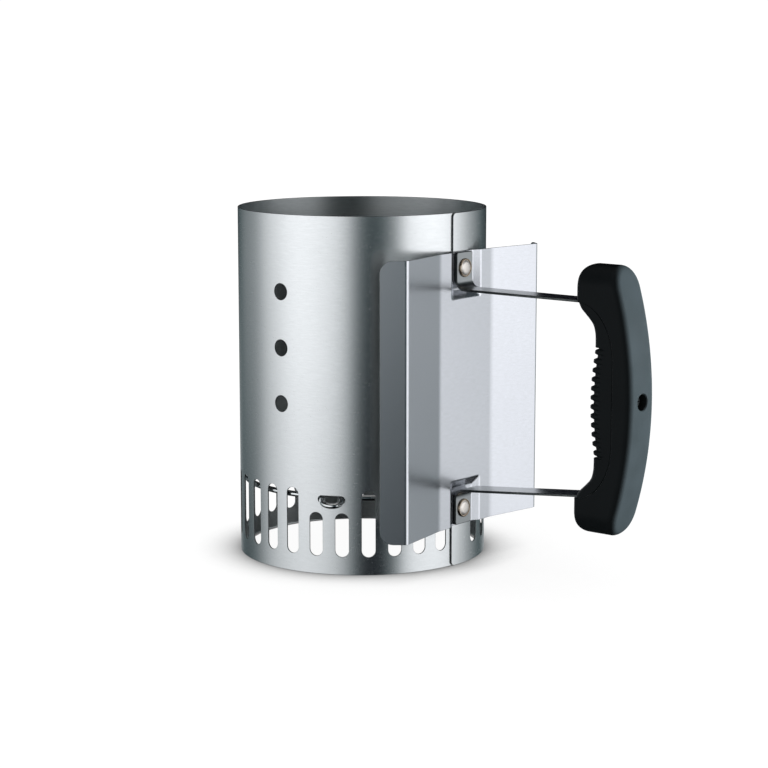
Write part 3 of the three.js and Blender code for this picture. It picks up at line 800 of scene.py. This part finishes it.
def parting(dz):
    """The line between the grip's two pieces."""
    share = np.clip((abs(dz) - PARTING_HALF) / (STRAP_ENTRY - PARTING_HALF), 0, 1)
    return PARTING_START + (PARTING_DEPTH - PARTING_START) * np.sqrt(1 - share ** 2)


def edge_drop(depth, radius):
    """How far a surface has fallen at a distance depth in from an edge of that radius."""
    short = np.clip(radius - depth, 0, radius)
    return radius - np.sqrt(radius ** 2 - short ** 2)


def strap_cutter():
    """The strap with 0.3 of room on every side."""
    room, no_points = 0.3, np.zeros((0, 2))
    points, _, faces, _ = sheet_mesh(strap_loops(room, 0), no_points, strap_at(room),
                                     STRAP_THICK + 2 * room, 0.1)
    return points, faces


def back_shell():
    end_centre = GRIP_HALF_LENGTH - GRIP_HALF_WIDTH
    heights = np.unique(np.concatenate([
        np.linspace(-end_centre, end_centre, 121),
        *[side * (PARTING_HALF + (STRAP_ENTRY - PARTING_HALF) * np.sin(np.linspace(0, math.pi / 2, 30)))
          for side in (-1, 1)],
        [-STRAP_ENTRY - 0.02, STRAP_ENTRY + 0.02],
    ]))
    turns = np.radians(np.linspace(0, 180, 49)[1:-1])
    ones, zeros, ends = np.ones(len(heights)), np.zeros(len(heights)), np.full(len(turns), end_centre)
    aside = np.concatenate([ones, np.cos(turns), -ones, -np.cos(turns)])
    up = np.concatenate([zeros, np.sin(turns), zeros, -np.sin(turns)])
    base = np.concatenate([heights, ends, heights[::-1], -ends])
    radius = GRIP_EDGE - (GRIP_EDGE - GRIP_TIP_EDGE) * up ** 2
    fillet = GRIP_EDGE * (1 - np.sin(np.linspace(math.pi / 2, 0, 11)))
    depths = np.unique(np.concatenate([fillet, [0.05, 0.15, 0.3, 7, 9, 11, GRIP_HALF_WIDTH]]))

    def row(depth, front):
        inset = GRIP_HALF_WIDTH - depth
        dz = base + up * inset
        if front:
            head = head_front(dz) + edge_drop(depth, radius)
            split = parting(dz) + PARTING_GAP / 2 + edge_drop(depth, 0.3)
            x = np.where(abs(dz) > STRAP_ENTRY + 0.01, head, split)
        else:
            x = grip_back(dz) - edge_drop(depth, radius)
        return np.stack([x, aside * inset, GRIP_CENTRE + dz], axis=1)

    rows = [row(depth, False) for depth in depths[::-1]] + [row(depth, True) for depth in depths]
    count = len(base)
    faces = []
    for r in range(len(rows) - 1):
        for i in range(count):
            j = (i + 1) % count
            faces.append((r * count + i, r * count + j, (r + 1) * count + j, (r + 1) * count + i))
    hole_radius = SCREW_HOLE / 2
    mouth_radius = hole_radius + 0.7
    bore = lathe([(0, SCREW_SEAT), (hole_radius, SCREW_SEAT), (hole_radius, GRIP_BACK - 0.5),
                  (mouth_radius, GRIP_BACK + 0.1), (mouth_radius, GRIP_BACK + 3), (0, GRIP_BACK + 3)],
                 (0, 0, SCREW_HEIGHT), (1, 0, 0))
    shell = make_piece("grip_rear_moulding", np.concatenate(rows), faces, [PLASTIC], "grip_back_shell",
                       "grip_plastic")
    tidy_mesh(shell, bore, strap_cutter())
    return shell


def finger_face(dz):
    """The finger side before its grooves are cut, and how deep the grooves are there, from 0 to 1."""
    far = np.array([0, 36, 40, 44.5, 47, 51, 54.3, 57, 58.5])
    reach = np.array([183.5, 183.5, 183.4, 182.4, 181, 177, 173.4, 171.9, 171.5])
    fine = np.linspace(0, 58.5, 300)
    smooth = np.interp(fine, far, reach)
    kernel = np.hanning(25)
    padded = np.concatenate([np.full(12, smooth[0]), smooth, np.full(12, smooth[-1])])
    smooth = np.convolve(padded, kernel / kernel.sum(), mode="valid")
    waist = np.interp(abs(dz), fine, smooth)
    tips = RIDGE_TIP + dz ** 2 / (2 * RIDGE_TIP_RADIUS)
    ridged = RIDGE_COUNT / 2 * RIDGE_PITCH
    base = np.where(abs(dz) < ridged, np.minimum(tips, waist + 0.3), waist)
    phase = abs((dz / RIDGE_PITCH) % 1 - 0.5)
    share = np.clip((phase - 0.14) / 0.24, 0, 1)
    groove = np.where(abs(dz) < ridged, share ** 2 * (3 - 2 * share), 0)
    return base, groove


def finger_piece():
    end = STRAP_ENTRY - 0.25
    heights = np.unique(np.concatenate([
        np.arange(-34, 34.01, RIDGE_PITCH / 16),
        *[side * (PARTING_HALF + (end - PARTING_HALF) * np.sin(np.linspace(0, math.pi / 2, 40)))
          for side in (-1, 1)],
        *[side * np.linspace(34, end, 60) for side in (-1, 1)],
    ]))
    face, groove = finger_face(heights)
    back = parting(heights) - PARTING_GAP / 2
    radius = np.minimum(GRIP_EDGE, 0.85 * (back - face))
    columns = []  # (x, y) round half the section, from the parting line to the middle of the finger face

    def column(x, y, normal_x, normal_y, cut):
        sink = RIDGE_DEPTH * groove * cut
        columns.append(np.stack([x - normal_x * sink, y - normal_y * sink, GRIP_CENTRE + heights], axis=1))

    chamfer = 0.3
    column(back, GRIP_HALF_WIDTH - chamfer, 0, 1, 0)
    side_length = back - chamfer - (face + radius)
    for t in np.linspace(0, 1, 14):
        beyond = side_length * (1 - t)
        fade = np.clip(1 - beyond / 4.5, 0, 1)
        column(face + radius + beyond, np.full(len(heights), GRIP_HALF_WIDTH), 0, 1, 0.75 * fade ** 1.5)
    for a in np.linspace(0, math.pi / 2, 10)[1:]:
        column(face + radius * (1 - math.sin(a)), GRIP_HALF_WIDTH - radius * (1 - math.cos(a)),
               -math.sin(a), math.cos(a), 0.75 + 0.25 * math.sin(a))
    for y in (6, 3, 0):
        column(face, np.full(len(heights), y), -1, 0, 1)
    mirrored = [c * (1, -1, 1) for c in columns[-2::-1]]
    rows = columns + mirrored
    count = len(heights)
    faces = []
    for r in range(len(rows)):
        s = (r + 1) % len(rows)
        for i in range(count - 1):
            faces.append((r * count + i, r * count + i + 1, s * count + i + 1, s * count + i))
    for i in (0, count - 1):
        faces.append(tuple(r * count + i for r in range(len(rows))))
    piece = make_piece("grip_finger_moulding", np.concatenate(rows), faces, [PLASTIC], "grip_finger_piece",
                       "grip_plastic")
    tidy_mesh(piece, strap_cutter())
    return piece


grip = [back_shell(), finger_piece()]
for piece in grip:
    piece.visible_glossy = False

# ---------------------------------------------------------------- stage, light and camera

CAMERA_PLACE = np.array([860.7, -1053.1, 331.6])  # millimetres about the chimney's axis
CAMERA_WAY = Vector((-0.6165, 0.7702, -0.1638))
CAMERA_LENS = 100.9  # millimetres, on a 36 mm sensor
camera_azimuth = math.degrees(math.atan2(CAMERA_PLACE[1], CAMERA_PLACE[0]))

camera_data = bpy.data.cameras.new("camera")
camera_data.lens = CAMERA_LENS
camera = bpy.data.objects.new("camera", camera_data)
camera.location = CAMERA_PLACE / 1000 + AXIS
camera.rotation_euler = CAMERA_WAY.to_track_quat("-Z", "Y").to_euler()
bpy.context.scene.collection.objects.link(camera)
bpy.context.scene.camera = camera


def staged(name, points, faces, material):
    mesh = bpy.data.meshes.new(name)
    mesh.from_pydata([tuple(p) for p in points], [], faces)
    mesh.materials.append(material)
    thing = bpy.data.objects.new(name, mesh)
    bpy.context.scene.collection.objects.link(thing)
    return thing


def round_patch(name, radius, height, material):
    """A level disc on the chimney's axis, in metres."""
    turns = np.radians(np.arange(0, 360, 5))
    points = [(AXIS[0] + radius * math.cos(a), AXIS[1] + radius * math.sin(a), height) for a in turns]
    return staged(name, points, [tuple(range(len(turns)))], material)


def glowing(name, colour, strength):
    """A material that only gives out light."""
    m = Nodes(name)
    m.set(base_color=(0, 0, 0, 1), specular_ior_level=0, emission_color=colour, emission_strength=strength)
    return m.material


def seen_only_by(thing, ray):
    """Shows the thing to the camera only, or in reflections only."""
    for kind in ("camera", "diffuse", "glossy", "transmission", "shadow"):
        setattr(thing, "visible_" + kind, kind == ray)


FLOOR_HALF = 40  # metres

# The floor glows bright enough to wash out wide shadows; an ambient occlusion node darkens its glow where
# something stands close to it, a painted contact shadow.
floor_paint = Nodes("floor_paint")
floor_paint.set(base_color=(0.25, 0.25, 0.25, 1), roughness=0.9, specular_ior_level=0, emission_strength=0.8)
painted_contact_shadow = floor_paint.add("ShaderNodeAmbientOcclusion", samples=16)
painted_contact_shadow.inputs["Distance"].default_value = 0.032
floor_paint.link(floor_paint.ramp(painted_contact_shadow.outputs["AO"], [(0.4, 0.0), (0.97, 1.0)]),
                 floor_paint.shader.inputs["Emission Color"])
floor_corners = [(x * FLOOR_HALF, y * FLOOR_HALF, 0) for x, y in ((-1, -1), (1, -1), (1, 1), (-1, 1))]
floor = staged("floor", floor_corners, [(0, 1, 2, 3)], floor_paint.material)
floor.visible_glossy = False

# The floor inside the chimney: a glowing disc, seen by the camera only, paints it as bright as outside over
# its real shade, and a dark disc, seen in reflections only, paints the shade that the inner face reflects.
painted_light_floor = glowing("painted_light_floor", (1, 1, 1, 1), 0.97)
seen_only_by(round_patch("lit_floor_inside", 0.0745, 0.0003, painted_light_floor), "camera")
painted_shade_floor = glowing("painted_shade_floor", (0.9, 1, 1, 1), 0.02)
seen_only_by(round_patch("dark_floor_inside", 0.077, 0.0005, painted_shade_floor), "glossy")

world = bpy.data.worlds.new("studio")
bpy.context.scene.world = world
world.use_nodes = True
world.node_tree.nodes["Background"].inputs["Color"].default_value = (1, 1, 1, 1)
world.node_tree.nodes["Background"].inputs["Strength"].default_value = 1.05
world.cycles_visibility.glossy = False
bpy.context.scene.view_settings.view_transform = "Standard"

# The tent round the object, which only shows in reflections. Each row is the angle round the chimney from
# the camera's side and the tent's brightness there at 0, 0.36 m below 0 and 0.6 m below 0.
TENT = [
    (-180, 0.02, 0.45, 0.50), (-165, 0.03, 0.40, 0.45), (-150, 0.12, 0.12, 0.10), (-134, 0.28, 0.16, 0.05),
    (-118, 0.33, 0.20, 0.11), (-108, 0.43, 0.30, 0.24), (-99, 0.70, 0.50, 0.39), (-90, 0.86, 0.66, 0.55),
    (-80, 1.02, 0.80, 0.67), (-70, 1.21, 0.93, 0.74), (-60, 1.30, 1.00, 0.82), (-48, 1.28, 0.97, 0.82),
    (-36, 1.17, 0.90, 0.75), (-28, 1.10, 0.81, 0.68), (-20, 0.97, 0.64, 0.50), (-14, 0.77, 0.42, 0.30),
    (-9, 0.50, 0.20, 0.14), (-4, 0.28, 0.05, 0.03), (2, 0.13, 0.00, 0.00), (8, 0.07, 0.00, 0.00),
    (15, 0.07, 0.00, 0.00), (22, 0.13, 0.02, 0.01), (28, 0.23, 0.12, 0.08), (34, 0.37, 0.26, 0.20),
    (38, 0.66, 0.53, 0.45), (42, 1.00, 0.84, 0.74), (47, 1.28, 1.05, 0.92), (58, 1.34, 1.14, 1.00),
    (70, 1.36, 1.18, 1.03), (80, 1.29, 1.14, 1.00), (88, 1.14, 1.03, 0.92), (97, 0.89, 0.97, 0.62),
    (105, 0.68, 0.78, 0.50), (113, 0.46, 0.36, 0.38), (122, 0.37, 0.25, 0.28), (132, 0.20, 0.14, 0.14),
    (145, 0.08, 0.08, 0.08), (160, 0.03, 0.40, 0.45), (180, 0.02, 0.45, 0.50),
]

# Each ring of the tent is its height in metres, which of those three brightnesses it takes, and the share of
# that brightness which it has in front and behind.
TENT_RINGS = (
    (-1.3, 2, 0.7, 0.7), (-0.6, 2, 1, 1), (-0.36, 1, 1, 1), (0, 0, 1, 1), (0.15, 0, 1, 0.6),
    (0.4, 0, 1.15, 0.1), (0.75, 0, 1.2, 0.02), (1, 0, 0.15, 0.02), (1.6, 0, 0.02, 0.02),
)
TENT_RADIUS = 2.2  # metres


def tent():
    angles = np.arange(-180, 180.1, 2)
    around_it = np.radians(camera_azimuth + angles)
    behind = np.clip((abs(angles) - 105) / 30, 0, 1)
    points, colours = [], []
    for height, level, front_share, back_share in TENT_RINGS:
        share = front_share + (back_share - front_share) * behind
        brightness = share * np.interp(angles, [row[0] for row in TENT], [row[1 + level] for row in TENT])
        for a, b in zip(around_it, brightness):
            points.append((AXIS[0] + TENT_RADIUS * math.cos(a), AXIS[1] + TENT_RADIUS * math.sin(a), height))
            colours.append((max(b - 0.03, 0.7 * b), b, 1.02 * b + 0.004, 1))  # its dark parts are bluer
    count = len(angles)
    faces = [(r * count + i, r * count + i + 1, (r + 1) * count + i + 1, (r + 1) * count + i)
             for r in range(len(TENT_RINGS) - 1) for i in range(count - 1)]
    cloth = Nodes("tent_cloth")
    cloth.set(base_color=(0, 0, 0, 1), specular_ior_level=0, emission_strength=1)
    painted = cloth.add("ShaderNodeVertexColor", layer_name="glow")
    cloth.link(painted.outputs["Color"], cloth.shader.inputs["Emission Color"])
    thing = staged("tent", points, faces, cloth.material)
    glow = thing.data.color_attributes.new("glow", "FLOAT_COLOR", "POINT")
    glow.data.foreach_set("color", np.ravel(colours))
    seen_only_by(thing, "glossy")


tent()
seen_only_by(round_patch("ceiling", 1.4, 2.4, glowing("ceiling_cloth", (1, 1, 1, 1), 0.5)), "glossy")

# A square soft light beyond the handle, which falls on the grip only.
LAMP_ANGLE = 95  # degrees round from the camera's side
LAMP_DISTANCE = 1.3  # metres
side_light = bpy.data.lights.new("side", "AREA")
side_light.size = 0.5
side_light.energy = 700
side_lamp = bpy.data.objects.new("side", side_light)
a = math.radians(camera_azimuth + LAMP_ANGLE)
way = Vector((math.cos(a), math.sin(a), 0))
side_lamp.location = Vector((0, 0, 0.1)) + way * LAMP_DISTANCE
side_lamp.rotation_euler = (-way).to_track_quat("-Z", "Y").to_euler()
side_lamp.visible_glossy = side_lamp.visible_camera = False
bpy.context.scene.collection.objects.link(side_lamp)
side_lamp.light_linking.receiver_collection = bpy.data.collections.new("grip_pieces")
for piece in grip:
    side_lamp.light_linking.receiver_collection.objects.link(piece)
